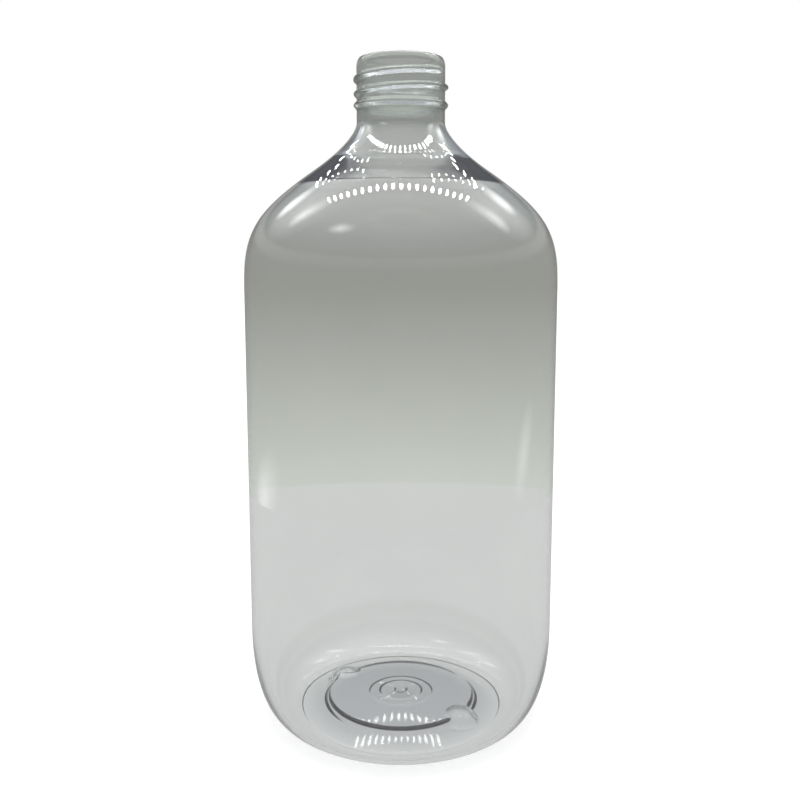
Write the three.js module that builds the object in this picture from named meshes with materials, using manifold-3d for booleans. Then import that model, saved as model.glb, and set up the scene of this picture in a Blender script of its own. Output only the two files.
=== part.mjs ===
// A clear one-litre boston round bottle, blown in one piece, open at a 28 mm threaded neck.
// Millimetres, +Z up. The foot ring stands on Z = 0 and the axis of the bottle is Z.

import * as THREE from 'three';
import { mergeVertices } from 'three/addons/utils/BufferGeometryUtils.js';
import Module from 'manifold-3d';

const { clamp, degToRad, lerp, smoothstep } = THREE.MathUtils;

// Overall sizes
const overallHeight = 197;
const bodyDiameter = 92;

// Neck finish, made for a 28 mm screw cap
const neckDiameter = 25.6;
const neckWall = 1.8;
const finishHeight = 18.2; // from the rim down to the end of the straight neck
const lipRun = 1.2; // outer edge of the rim, measured across
const lipDrop = 2.5; // and measured down
const mouthRound = 0.2; // inner edge of the rim
const threadDepth = 0.9; // of the thread, and of the bead below it
const threadPitch = 4.23;
const threadTurns = 1.5;
const threadBaseWidth = 2.3;
const threadCrestWidth = 0.9;
const threadDrop = 4.2; // from the rim to the middle of the thread at its upper end
const threadEndAngle = 340; // degrees, where the upper end stops
const threadFade = 30; // degrees over which each end of the thread sinks into the neck
const threadRoot = 0.5; // how far the ridge is let into the neck
const beadDrop = 13.3; // from the rim to the middle of the bead
const beadWidth = 2.9;

// Shoulder: it flares out of the neck, turns over, and falls onto the wall
const shoulderDrop = 47.4; // from the end of the neck to the top of the straight wall
const turnDrop = 13.7; // from the end of the neck to where the flare turns over
const turnRadius = 25.4;
const turnSlope = 34.8; // degrees below the horizontal, at the turn
const neckFlareFullness = 0.18;
const turnFlareFullness = 0.7;
const turnShoulderFullness = 0.83;
const wallShoulderFullness = 0.48;

// Heel and foot
const heelHeight = 28.9;
const heelFootFullness = 0.43;
const heelWallFullness = 0.81;
const footDiameter = 66.8; // outer edge of the flat that the bottle stands on
const footWidth = 1.9;
const footRound = 0.7; // inner edge of the foot ring, measured across

// Underside: a raised panel inside the foot ring, with the mark of the gate in its middle
const floorEdgeRise = 0.3; // at the foot ring
const floorRise = 1.0; // at the foot of the step
const floorWidth = 6.5;
const stepRun = 1.7;
const panelEdgeRise = 2.8;
const panelRise = 3.4; // around the gate
const gateRingDiameter = 18.6;
const gateWellDiameter = 14;
const gateWellDepth = 0.5;
const gateDiameter = 2.4;
const gateLength = 0.5;

// Two round lugs pressed up into the step, opposite each other, that turn the bottle in a printer
const lugAngle = -38; // degrees, of the first one
const lugInset = 1.8; // from the step to the middle of a lug
const lugDiameter = 9.6;
const lugHeight = 3.2; // above the foot of the step
const lugWall = 1.0;

// Wall thicknesses: thin up to a ring on the shoulder, then thickening to where the flare sets in
const bodyWall = 0.6;
const flareWall = 1.7;
const ringDrop = 17.5; // from the end of the neck to the ring
const flareDrop = 9.6; // from the end of the neck to where it has thickened
const footWall = 0.9;
const floorWall = 1.0;
const gateWall = 1.8;
const innerStepRun = 2.6; // the step is softer inside than outside

// Facets
const facetsAround = 48;
const facetsPerCurve = 9;
const facetsPerRound = 3;
const lugFacetsAround = 16;
const cutThrough = 2; // how far the inside is carried past the rim

const bodyRadius = bodyDiameter / 2;
const neckRadius = neckDiameter / 2;
const boreRadius = neckRadius - neckWall;
const footRadius = footDiameter / 2;
const footInner = footRadius - footWidth;
const stepRadius = footInner - footRound - floorWidth;
const neckEnd = overallHeight - finishHeight;
const slope = degToRad(turnSlope);

const wasm = await Module();
wasm.setup();

function solidFrom(geometry) {
  geometry.deleteAttribute('normal');
  geometry.deleteAttribute('uv');
  const merged = mergeVertices(geometry, 1e-4);
  return new wasm.Manifold(new wasm.Mesh({
    numProp: 3,
    vertProperties: merged.attributes.position.array,
    triVerts: Uint32Array.from(merged.index.array),
  }));
}

// Turns a half section, in radius and height, about the Z axis.
function turned(points, segments) {
  return solidFrom(new THREE.LatheGeometry(points, segments).rotateX(Math.PI / 2));
}

function line(...corners) {
  return corners.map(([radius, height]) => new THREE.Vector2(radius, height));
}

function curve(start, startHandle, endHandle, end) {
  const [a, b, c, d] = line(start, startHandle, endHandle, end);
  return new THREE.CubicBezierCurve(a, b, c, d).getPoints(facetsPerCurve);
}

function round(centre, radii, fromDegrees, toDegrees, facets) {
  const arc = new THREE.EllipseCurve(
    ...centre, ...radii, degToRad(fromDegrees), degToRad(toDegrees), toDegrees < fromDegrees);
  return arc.getPoints(facets);
}

// The outer face of the side, from the foot up to the straight neck.
function sideFace() {
  const wallTop = neckEnd - shoulderDrop;
  const turnHeight = neckEnd - turnDrop;
  const flareRun = turnFlareFullness * (turnRadius - neckRadius);
  const shoulderRun = turnShoulderFullness * (bodyRadius - turnRadius);
  return [
    ...curve(
      [footRadius, 0],
      [footRadius + heelFootFullness * (bodyRadius - footRadius), 0],
      [bodyRadius, heelHeight * (1 - heelWallFullness)],
      [bodyRadius, heelHeight]),
    ...curve(
      [bodyRadius, wallTop],
      [bodyRadius, wallTop + wallShoulderFullness * (turnHeight - wallTop)],
      [turnRadius + shoulderRun, turnHeight - shoulderRun * Math.tan(slope)],
      [turnRadius, turnHeight]),
    ...curve(
      [turnRadius, turnHeight],
      [turnRadius - flareRun, turnHeight + flareRun * Math.tan(slope)],
      [neckRadius, neckEnd - neckFlareFullness * turnDrop],
      [neckRadius, neckEnd]).slice(1),
  ];
}

// How thick the side is at a height.
function wallAt(height) {
  const ring = neckEnd - ringDrop;
  const flare = neckEnd - flareDrop;
  const heel = lerp(footWall, bodyWall, smoothstep(height, 0, heelHeight));
  const shoulder = lerp(heel, flareWall, clamp((height - ring) / (flare - ring), 0, 1));
  return lerp(shoulder, neckWall, smoothstep(height, flare, neckEnd));
}

// The inner face of the side, which lies inside the outer one by the thickness of the wall.
function insideOf(face) {
  const below = face[0].clone().add(new THREE.Vector2(-1, 0));
  const above = face.at(-1).clone().add(new THREE.Vector2(0, 1));
  return face.map((point, i) => {
    const before = (face[i - 1] ?? below).clone().sub(point).normalize();
    const after = (face[i + 1] ?? above).clone().sub(point).normalize();
    const along = after.sub(before).normalize();
    const inward = new THREE.Vector2(-along.y, along.x);
    return point.clone().addScaledVector(inward, wallAt(point.y));
  });
}

// Everything within the outer surface, as if the bottle were solid.
function outside() {
  const gateRing = gateRingDiameter / 2;
  const gateWell = gateWellDiameter / 2;
  const gate = gateDiameter / 2;
  const wellTop = panelRise + gateWellDepth;
  const underside = line(
    [0, wellTop - gateLength],
    [gate, wellTop - gateLength],
    [gate, wellTop],
    [gateWell - gateWellDepth, wellTop],
    [gateWell, panelRise],
    [gateRing, panelRise],
    [gateRing + gateWellDepth, panelRise - gateWellDepth / 2],
    [stepRadius - stepRun, panelEdgeRise],
    [stepRadius, floorRise],
    [footInner - footRound, floorEdgeRise],
  );
  const footRing = round(
    [footInner - footRound, 0], [footRound, floorEdgeRise], 90, 0, facetsPerRound);
  const bead = round(
    [neckRadius, overallHeight - beadDrop],
    [threadDepth, beadWidth / 2], -90, 90, 2 * facetsPerRound);
  const lip = round(
    [neckRadius - lipRun, overallHeight - lipDrop], [lipRun, lipDrop], 0, 90, facetsPerRound);
  return turned([
    ...underside,
    ...footRing.slice(1),
    ...sideFace(),
    ...bead,
    ...lip,
    ...line([0, overallHeight]),
  ], facetsAround);
}

// The hollow, carried up through the mouth.
function inside() {
  const mouthRadius = boreRadius + mouthRound;
  const floor = line(
    [0, panelRise + gateWall],
    [gateRingDiameter / 2, panelRise + floorWall],
    [stepRadius - innerStepRun, panelEdgeRise + floorWall],
    [stepRadius, floorRise + floorWall],
  );
  const mouth = round(
    [mouthRadius, overallHeight - mouthRound], [mouthRound, mouthRound], 180, 90, facetsPerRound);
  return turned([
    ...floor,
    ...insideOf(sideFace()),
    ...mouth,
    ...line([mouthRadius, overallHeight + cutThrough], [0, overallHeight + cutThrough]),
  ], facetsAround);
}

// A straight ridge, extruded along its length in degrees, then wrapped round the neck as a helix.
function thread() {
  const length = 360 * threadTurns;
  const section = new THREE.Shape(line(
    [-threadRoot, -threadBaseWidth / 2],
    [0, -threadBaseWidth / 2],
    [threadDepth, -threadCrestWidth / 2],
    [threadDepth, threadCrestWidth / 2],
    [0, threadBaseWidth / 2],
    [-threadRoot, threadBaseWidth / 2],
  ));
  const ridge = new THREE.ExtrudeGeometry(section, {
    depth: length,
    steps: Math.round(facetsAround * threadTurns),
    bevelEnabled: false,
  });
  const upperEnd = overallHeight - threadDrop;
  const corner = ridge.attributes.position;
  for (let i = 0; i < corner.count; i += 1) {
    const along = corner.getZ(i);
    const fade = smoothstep(Math.min(along, length - along), 0, threadFade);
    const lift = corner.getX(i) < 0 ? corner.getX(i) : lerp(-threadRoot / 2, corner.getX(i), fade);
    const radius = neckRadius + lift;
    const angle = degToRad(threadEndAngle - along);
    const height = upperEnd + corner.getY(i) - (threadPitch * along) / 360;
    corner.setXYZ(i, radius * Math.cos(angle), radius * Math.sin(angle), height);
  }
  return solidFrom(ridge);
}

// Half an egg on a short skirt, standing where one of the lugs is.
function lug(angle, radius, height) {
  const dome = turned([
    ...line([0, -floorRise], [radius, -floorRise]),
    ...round([0, 0], [radius, height], 0, 90, 2 * facetsPerRound),
  ], lugFacetsAround);
  const direction = degToRad(angle);
  const reach = stepRadius - lugInset;
  return dome.translate([reach * Math.cos(direction), reach * Math.sin(direction), floorRise]);
}

function bottle() {
  let shape = outside().add(thread());
  let hollow = inside();
  for (const angle of [lugAngle, lugAngle + 180]) {
    shape = shape.subtract(lug(angle, lugDiameter / 2, lugHeight));
    hollow = hollow.subtract(lug(angle, lugDiameter / 2 + lugWall, lugHeight + lugWall));
  }
  const mesh = shape.subtract(hollow).getMesh();
  const geometry = new THREE.BufferGeometry();
  geometry.setAttribute('position', new THREE.BufferAttribute(mesh.vertProperties, 3));
  geometry.setIndex(new THREE.BufferAttribute(mesh.triVerts, 1));
  return geometry;
}

const clearPlastic = new THREE.MeshStandardMaterial({
  color: 0xdfe4e1,
  roughness: 0.05,
  metalness: 0,
  transparent: true,
  opacity: 0.35,
});

const part = new THREE.Group();
const body = new THREE.Mesh(bottle(), clearPlastic);
body.name = 'bottle';
part.add(body);

export default part;
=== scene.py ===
"""A clear boston round bottle, blown in one piece, on a pale floor. Metres, +Z up."""

import math

import bmesh
import bpy
from mathutils import Matrix, Vector
from mathutils.geometry import interpolate_bezier


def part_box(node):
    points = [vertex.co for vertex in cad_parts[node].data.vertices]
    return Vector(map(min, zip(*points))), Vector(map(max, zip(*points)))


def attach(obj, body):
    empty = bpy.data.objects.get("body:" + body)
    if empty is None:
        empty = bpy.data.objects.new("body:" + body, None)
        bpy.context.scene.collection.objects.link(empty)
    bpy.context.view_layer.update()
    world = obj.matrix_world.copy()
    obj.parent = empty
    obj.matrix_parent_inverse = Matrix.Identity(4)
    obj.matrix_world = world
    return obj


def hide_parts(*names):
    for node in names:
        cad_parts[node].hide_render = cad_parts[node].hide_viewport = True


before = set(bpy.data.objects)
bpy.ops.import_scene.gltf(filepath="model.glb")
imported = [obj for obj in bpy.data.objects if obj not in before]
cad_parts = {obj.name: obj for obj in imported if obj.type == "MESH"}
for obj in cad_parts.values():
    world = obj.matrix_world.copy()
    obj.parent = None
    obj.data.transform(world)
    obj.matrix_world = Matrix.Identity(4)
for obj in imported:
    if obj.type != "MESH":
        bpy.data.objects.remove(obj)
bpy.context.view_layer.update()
_, HIGH_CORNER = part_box("bottle")

MM = 0.001

# Overall sizes, from the frame
HEIGHT = HIGH_CORNER.z
BODY_RADIUS = HIGH_CORNER.x

# Neck finish
NECK_RADIUS = 12.8 * MM
NECK_WALL = 1.8 * MM
NECK_END = HEIGHT - 18.2 * MM
LIP_RUN = 1.2 * MM
LIP_DROP = 2.5 * MM
MOUTH_ROUND = 0.2 * MM
THREAD_DEPTH = 0.9 * MM
THREAD_PITCH = 4.23 * MM
THREAD_TURNS = 1.5
THREAD_BASE = 2.3 * MM
THREAD_CREST = 0.5 * MM
THREAD_TOP = HEIGHT - 4.2 * MM
THREAD_END_ANGLE = math.radians(340)
THREAD_FADE = math.radians(30)
BEAD_HEIGHT = HEIGHT - 13.3 * MM
BEAD_WIDTH = 2.9 * MM

# Shoulder: it flares out of the neck, turns over, and falls onto the wall
WALL_TOP = NECK_END - 47.4 * MM
TURN_HEIGHT = NECK_END - 13.7 * MM
TURN_RADIUS = 25.4 * MM
TURN_SLOPE = math.radians(34.8)
NECK_FLARE_FULLNESS = 0.18
TURN_FLARE_FULLNESS = 0.7
TURN_SHOULDER_FULLNESS = 0.83
WALL_SHOULDER_FULLNESS = 0.48

# Heel and foot ring
HEEL_HEIGHT = 28.9 * MM
HEEL_FOOT_FULLNESS = 0.43
HEEL_WALL_FULLNESS = 0.81
FOOT_RADIUS = 33.4 * MM
FOOT_WIDTH = 1.9 * MM
FOOT_INNER = FOOT_RADIUS - FOOT_WIDTH
FOOT_ROUND = 0.7 * MM

# Underside
FLOOR_EDGE_RISE = 0.3 * MM
FLOOR_RISE = 1.0 * MM
FLOOR_WIDTH = 6.5 * MM
STEP_RADIUS = FOOT_INNER - FOOT_ROUND - FLOOR_WIDTH
STEP_RUN = 1.7 * MM
PANEL_EDGE_RISE = 2.8 * MM
PANEL_RISE = 3.4 * MM
GATE_RING = 9.3 * MM
GATE_WELL = 7.0 * MM
GATE_WELL_DEPTH = 0.5 * MM
GATE_RADIUS = 1.2 * MM
GATE_LENGTH = 0.5 * MM
GATE_EASE = 1.0 * MM  # run of the soft edges round the gate
LUG_ANGLES = (math.radians(-38), math.radians(142))
LUG_REACH = STEP_RADIUS - 1.8 * MM
LUG_RADIUS = 4.8 * MM
LUG_HEIGHT = 3.2 * MM
LUG_WALL = 1.0 * MM
LUG_BLEND = 0.5 * MM  # how far the foot of a lug is softened

# Wall thicknesses: thin up to a ring on the shoulder, then thickening to where the flare sets in
BODY_WALL = 0.6 * MM
FLARE_WALL = 1.7 * MM
RING_HEIGHT = NECK_END - 17.5 * MM
FLARE_HEIGHT = NECK_END - 9.6 * MM
FOOT_WALL = 0.9 * MM
FLOOR_WALL = 1.0 * MM
GATE_WALL = 1.8 * MM
INNER_STEP_RUN = 2.6 * MM

# Rows of the half section, by how far apart they lie, and the steps it is turned in
FINE = 0.16 * MM
CLOSE = 0.4 * MM
EVEN = 1.0 * MM
WIDE = 4.0 * MM
STEPS = 128
MERGE = 0.001 * MM

# Looks of the plastic
REFRACTION = 1.575
DEEP_CAST = (0.74, 0.8, 0.77, 1)
CAST_DENSITY = 130
RIPPLE_HEIGHT = 0.4 * MM
FLARE_RIPPLES = 20  # added strength of the ripples where the wall is thick
POLISH = 0.012  # roughness of the cleanest wall
HAZE_ROUGHNESS = 0.02
SCUFF_ROUGHNESS = 0.05
BORE_ROUGHNESS = 0.2
BORE_DEPTH = 0.07  # share of the neck's radius, from its face in, at which the bore's finish starts

# The floor, and the table that the bottle sees in its place
FLOOR_RADIUS = 4.0
FLOOR_SHADE_REACH = BODY_RADIUS
FLOOR_SHADE_CORE = 0.9 * BODY_RADIUS
FLOOR_SHADE_TONE = 0.84
TABLE_RADIUS = 0.27
TABLE_DROP = 0.2 * MM
TABLE_SHADE_REACH = 1.3 * STEP_RADIUS
TABLE_SHADE_CORE = 0.9 * STEP_RADIUS

# Lamps and panels that the clear wall mirrors and lets through
CEILING = 0.40
LAMP_STRENGTH = 40
LAMP_GROWTH = 0.7  # how much longer the lamps at the ends of a row are
STRIP_WIDTH = 0.10
STRIP_STRENGTH = 4
GLOW_WIDTH = 0.6
GLOW_FOOT = 0.28
GLOW_HEAD = 0.95
GLOW_STRENGTH = 1.6
STREAK_WIDTH = 0.06
STREAK_STRENGTH = 2
SHEET_SIDES = 64

# Sockets of a Mix node that is set to colours
MIX_FIRST = 6
MIX_SECOND = 7
MIX_RESULT = 2

# The camera, from the outline of the bottle in an image 800 pixels wide
IMAGE = 800
FOCAL_PIXELS = 938.24
CENTRE_COLUMN = 400.84
CENTRE_ROW = 368.26
CAMERA_PLACE = (0, -0.27969, 0.14632)
CAMERA_TILT = math.radians(8.01)
SENSOR = 36
NEAREST = 0.01


def share(value, start, end):
    """How far a value has come on its way from start to end, from 0 to 1."""
    return min(max((value - start) / (end - start), 0), 1)


def eased(value, start, end):
    """The same share, but setting off and arriving softly."""
    part = share(value, start, end)
    return part * part * (3 - 2 * part)


def at(radius, height):
    """A point of the half section."""
    return Vector((radius, 0, height))


def straight(start, end, spacing):
    """A straight stretch of the section, without its end, which the next stretch starts with."""
    rows = max(1, round((end - start).length / spacing))
    return [start.lerp(end, row / rows) for row in range(rows)]


def straights(corners, spacing):
    """Straight stretches from corner to corner."""
    stretches = [straight(a, b, spacing) for a, b in zip(corners, corners[1:])]
    return [point for stretch in stretches for point in stretch]


def bent(start, start_handle, end_handle, end, spacing):
    """A curved stretch, with a handle for each of its ends."""
    rows = max(2, round((end - start).length / spacing))
    return interpolate_bezier(start, start_handle, end_handle, end, rows + 1)[:-1]


def stepped(start, end, spacing):
    """A soft step, level at both ends."""
    level = at((end.x - start.x) / 2, 0)
    return bent(start, start + level, end - level, end, spacing)


def rounded(centre, radius, rise, from_degrees, to_degrees, spacing):
    """A round or oval stretch about a centre."""
    rows = max(3, round(max(radius, rise) * math.pi / 2 / spacing))
    turns = [math.radians(from_degrees + (to_degrees - from_degrees) * row / rows) for row in range(rows)]
    return [centre + at(radius * math.cos(turn), rise * math.sin(turn)) for turn in turns]


def outer_side():
    """The outer face of the side, from the foot up to the straight neck."""
    foot = at(FOOT_RADIUS, 0)
    wall_foot = at(BODY_RADIUS, HEEL_HEIGHT)
    wall_head = at(BODY_RADIUS, WALL_TOP)
    turn = at(TURN_RADIUS, TURN_HEIGHT)
    neck_foot = at(NECK_RADIUS, NECK_END)
    downhill = at(1, -math.tan(TURN_SLOPE))
    heel = bent(
        foot,
        foot + at(HEEL_FOOT_FULLNESS * (BODY_RADIUS - FOOT_RADIUS), 0),
        wall_foot - at(0, HEEL_WALL_FULLNESS * HEEL_HEIGHT),
        wall_foot,
        EVEN,
    )
    wall = straight(wall_foot, wall_head, WIDE)
    shoulder = bent(
        wall_head,
        wall_head + at(0, WALL_SHOULDER_FULLNESS * (TURN_HEIGHT - WALL_TOP)),
        turn + TURN_SHOULDER_FULLNESS * (BODY_RADIUS - TURN_RADIUS) * downhill,
        turn,
        CLOSE,
    )
    flare = bent(
        turn,
        turn - TURN_FLARE_FULLNESS * (TURN_RADIUS - NECK_RADIUS) * downhill,
        neck_foot - at(0, NECK_FLARE_FULLNESS * (NECK_END - TURN_HEIGHT)),
        neck_foot,
        CLOSE,
    )
    return [*heel, *wall, *shoulder, *flare, neck_foot]


def wall_at(point):
    """How thick the side is at a point of its outer face."""
    thinned = (BODY_WALL - FOOT_WALL) * eased(point.z, 0, HEEL_HEIGHT)
    thickened = (FLARE_WALL - BODY_WALL) * share(point.z, RING_HEIGHT, FLARE_HEIGHT)
    drawn_in = (NECK_WALL - FLARE_WALL) * eased(point.z, FLARE_HEIGHT, NECK_END)
    return FOOT_WALL + thinned + thickened + drawn_in


def inner_side(outer):
    """The inner face of the side, from the neck down to the foot."""
    below = outer[0] - at(1, 0)
    above = outer[-1] + at(0, 1)
    inner = []
    for before, point, after in zip([below, *outer], outer, [*outer[1:], above]):
        along = ((point - before).normalized() + (after - point).normalized()).normalized()
        inner.append(point + wall_at(point) * at(-along.z, along.x))
    return inner[::-1]


def half_section():
    """The wall cut through the axis: from under the gate outwards, up, over the rim and back in."""
    well_top = PANEL_RISE + GATE_WELL_DEPTH
    gate = at(GATE_RADIUS, well_top - GATE_LENGTH)
    well_foot = at(GATE_RADIUS + GATE_EASE, well_top)
    well_edge = at(GATE_WELL - GATE_EASE, well_top)
    ring_edge = at(GATE_WELL, PANEL_RISE)
    ring_top = at(GATE_RING, PANEL_RISE)
    ring_foot = at(GATE_RING + GATE_EASE, PANEL_RISE - GATE_WELL_DEPTH / 2)
    panel_edge = at(STEP_RADIUS - STEP_RUN, PANEL_EDGE_RISE)
    step_foot = at(STEP_RADIUS, FLOOR_RISE)
    floor_edge = at(FOOT_INNER - FOOT_ROUND, FLOOR_EDGE_RISE)
    foot_edge = at(FOOT_INNER, 0)
    foot = at(FOOT_RADIUS, 0)
    bore_radius = NECK_RADIUS - NECK_WALL
    mouth_radius = bore_radius + MOUTH_ROUND
    rim = at(NECK_RADIUS - LIP_RUN, HEIGHT)
    bore_top = at(bore_radius, HEIGHT - MOUTH_ROUND)
    side = outer_side()
    inner_foot = at(STEP_RADIUS, FLOOR_RISE + FLOOR_WALL)
    inner_edge = at(STEP_RADIUS - INNER_STEP_RUN, PANEL_EDGE_RISE + FLOOR_WALL)
    inner_gate = at(GATE_RING, PANEL_RISE + FLOOR_WALL)
    inner_middle = at(0, PANEL_RISE + GATE_WALL)
    return [
        *straight(at(0, gate.z), gate, CLOSE),
        *stepped(gate, well_foot, FINE),
        *straight(well_foot, well_edge, CLOSE),
        *stepped(well_edge, ring_edge, FINE),
        *straight(ring_edge, ring_top, CLOSE),
        *stepped(ring_top, ring_foot, FINE),
        *straight(ring_foot, panel_edge, CLOSE),
        *stepped(panel_edge, step_foot, FINE),
        *straight(step_foot, floor_edge, CLOSE),
        *stepped(floor_edge, foot_edge, FINE),
        *straight(foot_edge, foot, CLOSE),
        *side[:-1],
        *straight(side[-1], at(NECK_RADIUS, HEIGHT - LIP_DROP), FINE),
        *rounded(rim - at(0, LIP_DROP), LIP_RUN, LIP_DROP, 0, 90, FINE),
        *straight(rim, at(mouth_radius, HEIGHT), CLOSE),
        *rounded(at(mouth_radius, bore_top.z), MOUTH_ROUND, MOUTH_ROUND, 90, 180, FINE),
        *straight(bore_top, at(bore_radius, NECK_END), EVEN),
        *inner_side(side),
        *straight(at(FOOT_RADIUS, FOOT_WALL), inner_foot, CLOSE)[1:],
        *stepped(inner_foot, inner_edge, FINE),
        *straights([inner_edge, inner_gate, inner_middle], CLOSE),
        inner_middle,
    ]


def turned(section):
    """A closed bmesh of the section turned about Z, with its outer faces outwards."""
    bm = bmesh.new()
    corners = [bm.verts.new(point) for point in section]
    for pair in zip(corners, corners[1:]):
        bm.edges.new(pair)
    bmesh.ops.spin(
        bm,
        geom=bm.verts[:] + bm.edges[:],
        axis=(0, 0, 1),
        angle=math.tau,
        steps=STEPS,
        use_merge=True,
    )
    bmesh.ops.remove_doubles(bm, verts=bm.verts, dist=MERGE)
    bmesh.ops.recalc_face_normals(bm, faces=bm.faces)
    return bm


def ridge(offset, base, crest):
    """How much of its full depth a rounded ridge has at a distance from its middle."""
    return eased(-abs(offset), -base / 2, -crest / 2)


def neck_lift(angle, height):
    """How far the thread and the bead stand out of the neck."""
    lift = THREAD_DEPTH * ridge(height - BEAD_HEIGHT, BEAD_WIDTH, 0)
    length = math.tau * THREAD_TURNS
    along = (THREAD_END_ANGLE - angle) % math.tau
    while along < length:
        middle = THREAD_TOP - THREAD_PITCH * along / math.tau
        fade = eased(min(along, length - along), 0, THREAD_FADE)
        lift = max(lift, fade * THREAD_DEPTH * ridge(height - middle, THREAD_BASE, THREAD_CREST))
        along += math.tau
    return lift


def raise_thread(bm):
    """Lifts the outer face of the neck into the thread and the bead."""
    for vert in bm.verts:
        radius = vert.co.xy.length
        on_neck = NECK_END < vert.co.z < HEIGHT - LIP_DROP and radius > NECK_RADIUS - MERGE
        if on_neck:
            angle = math.atan2(vert.co.y, vert.co.x)
            vert.co.xy *= (radius + neck_lift(angle, vert.co.z)) / radius


def press_lugs(bm):
    """Presses two round lugs up into the step of the underside, through both faces of the wall."""
    for angle in LUG_ANGLES:
        middle = Vector((math.cos(angle), math.sin(angle))) * LUG_REACH
        for vert in bm.verts:
            if vert.co.z > PANEL_RISE + LUG_HEIGHT:
                continue
            wall = LUG_WALL if vert.normal.z > 0 else 0
            away = (vert.co.xy - middle).length / (LUG_RADIUS + wall)
            if away < 1:
                top = FLOOR_RISE + (LUG_HEIGHT + wall) * math.sqrt(1 - away * away)
                gap = max(0, 1 - abs(top - vert.co.z) / LUG_BLEND)
                vert.co.z = max(vert.co.z, top) + LUG_BLEND * gap * gap / 4


class Socket:
    """A node's output, on which arithmetic adds Math nodes."""

    def __init__(self, nodes, output):
        self.nodes = nodes
        self.output = output

    def math(self, operation, first, second):
        return self.nodes.add("ShaderNodeMath", {"operation": operation}, {0: first, 1: second})

    def __add__(self, other):
        return self.math("ADD", self, other)

    def __radd__(self, other):
        return self.math("ADD", other, self)

    def __mul__(self, other):
        return self.math("MULTIPLY", self, other)

    def __rmul__(self, other):
        return self.math("MULTIPLY", other, self)


class Nodes:
    """The node tree of a material or of the world."""

    def __init__(self, tree):
        self.tree = tree
        tree.nodes.clear()

    def add(self, kind, settings, inputs, output=0):
        """Adds a node, sets it up, fills or links its sockets, and gives one of its outputs."""
        node = self.tree.nodes.new(kind)
        for name, setting in settings.items():
            if name == "stops":
                self.set_stops(node.color_ramp, setting)
            else:
                setattr(node, name, setting)
        for name, value in inputs.items():
            if isinstance(value, Socket):
                self.tree.links.new(value.output, node.inputs[name])
            else:
                node.inputs[name].default_value = value
        return Socket(self, node.outputs[output]) if node.outputs else node

    def inward(self, place):
        """1 at the middle of the coordinates, falling to 0 at a distance of 1 from it."""
        return self.add("ShaderNodeTexGradient", {"gradient_type": "SPHERICAL"}, {"Vector": place}, "Fac")

    @staticmethod
    def set_stops(ramp, stops):
        while len(ramp.elements) < len(stops):
            ramp.elements.new(1)
        for element, (position, colour) in zip(ramp.elements, stops):
            element.position = position
            element.color = (*colour, 1)


def material_nodes(name):
    material = bpy.data.materials.new(name)
    material.use_nodes = True
    return material, Nodes(material.node_tree)


def clear_plastic():
    """Clear plastic with flow ripples, faint scuffs, a duller bore and a grey-green cast in its depth."""
    material, nodes = material_nodes("clear_plastic")
    place = nodes.add("ShaderNodeTexCoord", {}, {}, "Object")
    stretched = nodes.add("ShaderNodeMapping", {}, {"Vector": place, "Scale": (1, 1, 0.25)})
    ripples = nodes.add("ShaderNodeTexNoise", {}, {"Vector": stretched, "Scale": 45, "Detail": 1})
    haze = nodes.add("ShaderNodeTexNoise", {}, {"Vector": place, "Scale": 30, "Detail": 4})
    scratched = nodes.add(
        "ShaderNodeMapping", {}, {"Vector": place, "Rotation": (0.5, 0.3, 0), "Scale": (1, 1, 0.02)})
    scratches = nodes.add("ShaderNodeTexNoise", {}, {"Vector": scratched, "Scale": 900, "Detail": 2})
    scuffs = nodes.add(
        "ShaderNodeValToRGB", {"stops": [(0.68, (0, 0, 0)), (0.76, (1, 1, 1))]}, {"Fac": scratches})
    height = nodes.add("ShaderNodeSeparateXYZ", {}, {"Vector": place}, "Z")
    thick = nodes.add(
        "ShaderNodeMapRange", {}, {"Value": height, "From Min": RING_HEIGHT, "From Max": FLARE_HEIGHT})
    bumpy = nodes.add(
        "ShaderNodeBump",
        {},
        {"Strength": 0.08, "Distance": RIPPLE_HEIGHT, "Height": ripples + thick * ripples * FLARE_RIPPLES},
        "Normal",
    )
    round_bore = nodes.add(
        "ShaderNodeMapping", {}, {"Vector": place, "Scale": (1 / NECK_RADIUS, 1 / NECK_RADIUS, 0)})
    inward = nodes.inward(round_bore)
    within = nodes.add("ShaderNodeMath", {"operation": "GREATER_THAN"}, {0: inward, 1: BORE_DEPTH})
    above = nodes.add("ShaderNodeMath", {"operation": "GREATER_THAN"}, {0: height, 1: NECK_END})
    tint = nodes.add(
        "ShaderNodeValToRGB",
        {"stops": [(0.35, (0.985, 0.99, 0.985)), (0.7, (0.96, 0.97, 0.962))]},
        {"Fac": haze},
    )
    worn = haze * HAZE_ROUGHNESS + scuffs * SCUFF_ROUGHNESS
    dullness = POLISH + worn + within * above * BORE_ROUGHNESS
    surface = nodes.add(
        "ShaderNodeBsdfPrincipled",
        {},
        {
            "Base Color": tint,
            "Roughness": dullness,
            "IOR": REFRACTION,
            "Transmission Weight": 1,
            "Normal": bumpy,
        },
    )
    inside = nodes.add("ShaderNodeVolumeAbsorption", {}, {"Color": DEEP_CAST, "Density": CAST_DENSITY})
    nodes.add("ShaderNodeOutputMaterial", {}, {"Surface": surface, "Volume": inside})
    return material


def shining(name, strength):
    material, nodes = material_nodes(name)
    light = nodes.add("ShaderNodeEmission", {}, {"Strength": strength})
    nodes.add("ShaderNodeOutputMaterial", {}, {"Surface": light})
    return material


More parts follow.
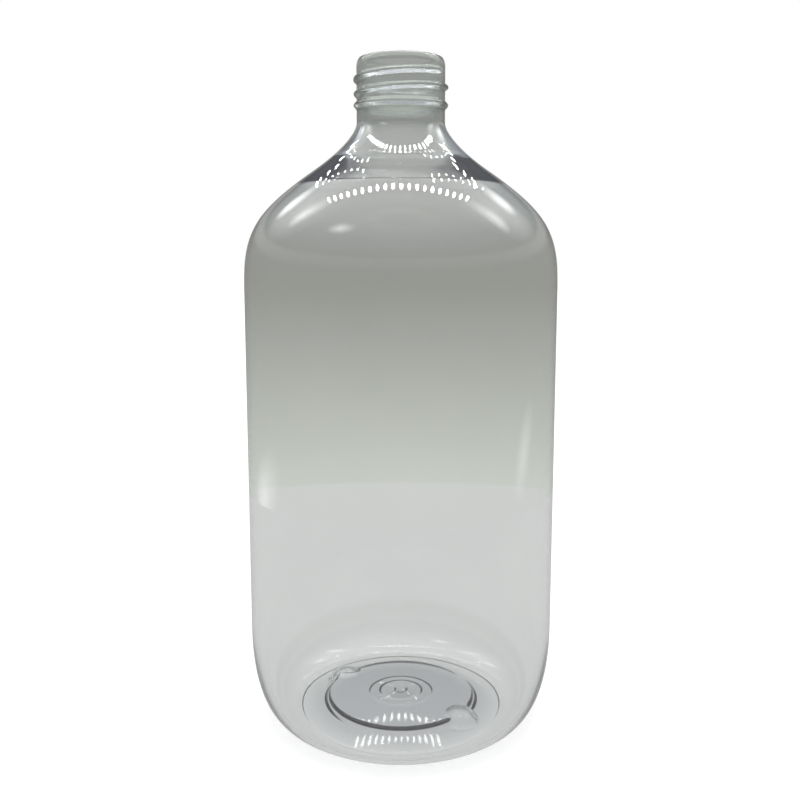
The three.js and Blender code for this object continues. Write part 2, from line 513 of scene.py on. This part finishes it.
def soft_glow(name, strength):
    """Light that fades from the middle of a unit disc to its edge."""
    material, nodes = material_nodes(name)
    place = nodes.add("ShaderNodeTexCoord", {}, {}, "Object")
    inward = nodes.inward(place)
    light = nodes.add("ShaderNodeEmission", {}, {"Strength": strength})
    clear = nodes.add("ShaderNodeBsdfTransparent", {}, {})
    faded = nodes.add("ShaderNodeMixShader", {}, {"Fac": inward, 1: clear, 2: light})
    nodes.add("ShaderNodeOutputMaterial", {}, {"Surface": faded})
    return material


def lit_table():
    """The floor as the bottle sees it: pale, and shaded under the raised base."""
    material, nodes = material_nodes("table")
    place = nodes.add("ShaderNodeTexCoord", {}, {}, "Object")
    inward = nodes.inward(place)
    shade = nodes.add(
        "ShaderNodeValToRGB",
        {
            "stops": [
                (1 - TABLE_SHADE_REACH / TABLE_RADIUS, (0.67, 0.67, 0.67)),
                (1 - TABLE_SHADE_CORE / TABLE_RADIUS, (0.46, 0.46, 0.48)),
            ]
        },
        {"Fac": inward},
    )
    light = nodes.add("ShaderNodeEmission", {}, {"Color": shade})
    nodes.add("ShaderNodeOutputMaterial", {}, {"Surface": light})
    return material


def pale_floor():
    """A white floor that glows, with a faint shade close round the foot of the bottle."""
    material, nodes = material_nodes("pale_floor")
    place = nodes.add("ShaderNodeTexCoord", {}, {}, "Object")
    inward = nodes.inward(place)
    shade = nodes.add(
        "ShaderNodeMapRange",
        {},
        {
            "Value": inward,
            "From Min": 1 - FLOOR_SHADE_REACH / FLOOR_RADIUS,
            "From Max": 1 - FLOOR_SHADE_CORE / FLOOR_RADIUS,
            "To Min": 1,
            "To Max": FLOOR_SHADE_TONE,
        },
        "Result",
    )
    surface = nodes.add(
        "ShaderNodeBsdfPrincipled",
        {},
        {
            "Base Color": (0.4, 0.4, 0.4, 1),
            "Roughness": 0.9,
            "Specular IOR Level": 0,
            "Emission Color": shade,
            "Emission Strength": 0.95,
        },
    )
    nodes.add("ShaderNodeOutputMaterial", {}, {"Surface": surface})
    return material


def placed(name, bm, material):
    """Makes a smooth object of a bmesh and puts it in the scene."""
    for face in bm.faces:
        face.smooth = True
    mesh = bpy.data.meshes.new(name)
    bm.to_mesh(mesh)
    bm.free()
    mesh.materials.append(material)
    piece = bpy.data.objects.new(name, mesh)
    bpy.context.scene.collection.objects.link(piece)
    return piece


def bottle():
    bm = turned(half_section())
    bm.normal_update()
    raise_thread(bm)
    press_lugs(bm)
    piece = placed("clear_bottle", bm, clear_plastic())
    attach(piece, "root")
    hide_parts("bottle")


def sheet(name, matrix, material):
    """A round or oval sheet beside the bottle: the unit disc, placed by the matrix."""
    bm = bmesh.new()
    bmesh.ops.create_circle(bm, cap_ends=True, segments=SHEET_SIDES, radius=1)
    disc = placed(name, bm, material)
    disc.matrix_world = matrix
    return disc


def only_mirrored(disc):
    """Keeps a sheet out of the picture, to be seen in the bottle or through it."""
    disc.visible_camera = False
    disc.visible_diffuse = False
    disc.visible_shadow = False


def floor():
    """The floor that the camera sees, and just under it the table that the bottle sees."""
    seen = sheet("floor", Matrix.Scale(FLOOR_RADIUS, 4), pale_floor())
    seen.visible_glossy = False
    seen.visible_transmission = False
    seen.visible_diffuse = False
    seen.visible_shadow = False
    under = Matrix.LocRotScale((0, 0, -TABLE_DROP), None, (TABLE_RADIUS, TABLE_RADIUS, 1))
    only_mirrored(sheet("table", under, lit_table()))


def lamp_row(name, count, start, end, size, bow=0):
    """A row of oval lamps on the ceiling, bowed towards the front and with longer ones at its ends."""
    light = shining(name, LAMP_STRENGTH)
    width, length = size
    for lamp in range(count):
        along = lamp / (count - 1)
        side = 2 * along - 1
        x, y = Vector(start).lerp(Vector(end), along)
        middle = (x, y + bow * (side * side - 1), CEILING)
        growth = 1 + LAMP_GROWTH * side * side
        oval = Matrix.LocRotScale(middle, None, (width / 2, length / 2 * growth, 1))
        only_mirrored(sheet(f"{name}_{lamp + 1}", oval, light))


def lamps():
    lamp_row("front_lamp", 20, start=(-0.155, 0.065), end=(0.141, 0.058), size=(0.006, 0.02), bow=0.032)
    lamp_row("left_lamp", 8, start=(-0.081, 0.094), end=(-0.176, 0.22), size=(0.003, 0.006))
    lamp_row("right_lamp", 8, start=(0.065, 0.07), end=(0.171, 0.183), size=(0.003, 0.006))
    lamp_row("left_end", 3, start=(-0.15, 0.264), end=(-0.178, 0.248), size=(0.004, 0.03))
    lamp_row("right_end", 3, start=(0.124, 0.196), end=(0.152, 0.172), size=(0.004, 0.03))
    lamp_row("back_lamp", 14, start=(-0.08, 0.39), end=(0.07, 0.39), size=(0.005, 0.02), bow=0.01)
    lamp_row("far_lamp", 14, start=(-0.085, 0.555), end=(0.065, 0.555), size=(0.005, 0.012))


def panel(name, start, end, width, strength):
    """A soft-edged panel of light from one point to another, facing the bottle."""
    middle = (Vector(start) + Vector(end)) / 2
    along = (Vector(end) - Vector(start)) / 2
    facing = middle.normalized()
    across = facing.cross(along).normalized() * width / 2
    matrix = Matrix((along, across, facing)).transposed().to_4x4()
    matrix.translation = middle
    disc = sheet(name, matrix, soft_glow(name, strength))
    only_mirrored(disc)
    return disc


def strip(name, start, end):
    """A strip of light on the ceiling."""
    panel(name, (*start, CEILING), (*end, CEILING), STRIP_WIDTH, STRIP_STRENGTH)


def glow(name, x, y):
    """A tall soft panel beside the bottle."""
    panel(name, (x, y, GLOW_FOOT), (x, y, GLOW_HEAD), GLOW_WIDTH, GLOW_STRENGTH)


def streak(name, start, end):
    """A low strip of light that the wall mirrors, but that isn't seen through it."""
    disc = panel(name, (*start, 0), (*end, 0), STREAK_WIDTH, STREAK_STRENGTH)
    disc.visible_transmission = False


def panels():
    strip("left_strip", start=(-0.15, 0.066), end=(-0.37, 0.088))
    strip("right_strip", start=(0.14, 0.054), end=(0.4, 0.015))
    strip("left_far_strip", start=(-0.175, 0.24), end=(-0.36, 0.272))
    strip("right_far_strip", start=(0.165, 0.225), end=(0.31, 0.175))
    strip("patch", start=(-0.262, -0.125), end=(-0.153, -0.185))
    glow("left_glow", x=-0.40, y=0.2)
    glow("right_glow", x=0.41, y=0.18)
    streak("left_streak", start=(-0.275, 0.2), end=(-0.26, 0))
    streak("right_streak", start=(0.33, 0.08), end=(0.48, -0.02))


def room():
    """White to the camera. To the bottle, a room that is pale low down, grey around and bright above."""
    world = bpy.data.worlds.new("room")
    world.use_nodes = True
    nodes = Nodes(world.node_tree)
    direction = nodes.add("ShaderNodeTexCoord", {}, {}, "Generated")
    height = nodes.add("ShaderNodeSeparateXYZ", {}, {"Vector": direction}, "Z")
    # The stops run from straight down, at 0, to straight up, at 1.
    walls = nodes.add(
        "ShaderNodeValToRGB",
        {
            "stops": [
                (0.37, (0.62, 0.64, 0.60)),
                (0.47, (0.34, 0.34, 0.32)),
                (0.57, (0.28, 0.28, 0.27)),
                (0.6, (0.43, 0.43, 0.42)),
                (0.638, (0.43, 0.43, 0.42)),
                (0.665, (0.20, 0.21, 0.23)),
                (0.8, (0.50, 0.52, 0.58)),
                (1.0, (1.4, 1.4, 1.4)),
            ]
        },
        {"Fac": height * 0.5 + 0.5},
    )
    camera_ray = nodes.add("ShaderNodeLightPath", {}, {}, "Is Camera Ray")
    seen = nodes.add(
        "ShaderNodeMix",
        {"data_type": "RGBA"},
        {"Factor": camera_ray, MIX_FIRST: walls, MIX_SECOND: (1, 1, 1, 1)},
        MIX_RESULT,
    )
    light = nodes.add("ShaderNodeBackground", {}, {"Color": seen})
    nodes.add("ShaderNodeOutputWorld", {}, {"Surface": light})
    bpy.context.scene.world = world


def camera():
    data = bpy.data.cameras.new("camera")
    data.sensor_width = SENSOR
    data.lens = FOCAL_PIXELS * SENSOR / IMAGE
    data.shift_x = (IMAGE / 2 - CENTRE_COLUMN) / IMAGE
    data.shift_y = (CENTRE_ROW - IMAGE / 2) / IMAGE
    data.clip_start = NEAREST
    eye = bpy.data.objects.new("camera", data)
    eye.location = CAMERA_PLACE
    eye.rotation_euler = (math.pi / 2 - CAMERA_TILT, 0, 0)
    bpy.context.scene.collection.objects.link(eye)
    bpy.context.scene.camera = eye


bottle()
floor()
lamps()
panels()
room()
camera()
bpy.context.scene.view_settings.view_transform = "Standard"
